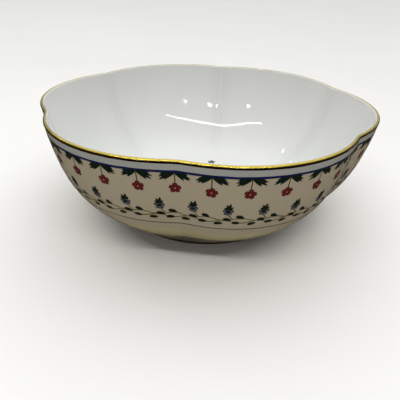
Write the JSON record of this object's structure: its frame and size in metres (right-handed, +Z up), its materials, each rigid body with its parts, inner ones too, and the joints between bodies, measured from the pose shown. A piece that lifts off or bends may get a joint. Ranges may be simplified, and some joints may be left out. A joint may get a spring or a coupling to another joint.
{
  "type": "porcelain serving bowl",
  "caption": "Round porcelain serving bowl with a lobed, notched wall, a gilt lip, a round foot ring and an enamelled border of hanging flowers, buds and a twining vine.",
  "frame": {"origin": "on the table, under the middle of the foot ring", "axes": "+Z up through the middle of the bowl; +X through the middle of one lobe, across the widest part; a notch between two lobes faces -Y"},
  "size_m": [0.244, 0.2336, 0.0854],
  "materials": {
    "porcelain": "clear gloss glaze on white porcelain",
    "gilding": "burnished gold, worn a little on the edge",
    "navy_enamel": "gloss enamel over the glaze",
    "green_enamel": "gloss enamel over the glaze",
    "olive_enamel": "gloss enamel over the glaze",
    "red_enamel": "gloss enamel over the glaze",
    "pink_enamel": "gloss enamel over the glaze",
    "blue_enamel": "gloss enamel over the glaze",
    "grey_enamel": "gloss enamel over the glaze"
  },
  "bodies": {
    "root": {"bowl_body": "porcelain", "foot_ring": "porcelain", "gilt_rim": "gilding", "blue_line": "navy_enamel", "leaf_sprays": "green_enamel", "flower_stems": "olive_enamel", "red_flowers": "red_enamel", "flower_centres": "pink_enamel", "blue_buds": "blue_enamel", "bud_leaves": "green_enamel", "bud_stems": "olive_enamel", "vine_strands": "olive_enamel", "vine_leaves": "green_enamel", "lower_line": "grey_enamel", "sprig_stems": "olive_enamel", "sprig_leaves": "green_enamel", "sprig_buds": "blue_enamel", "sprig_flower": "red_enamel"}
  },
  "joints": []
}
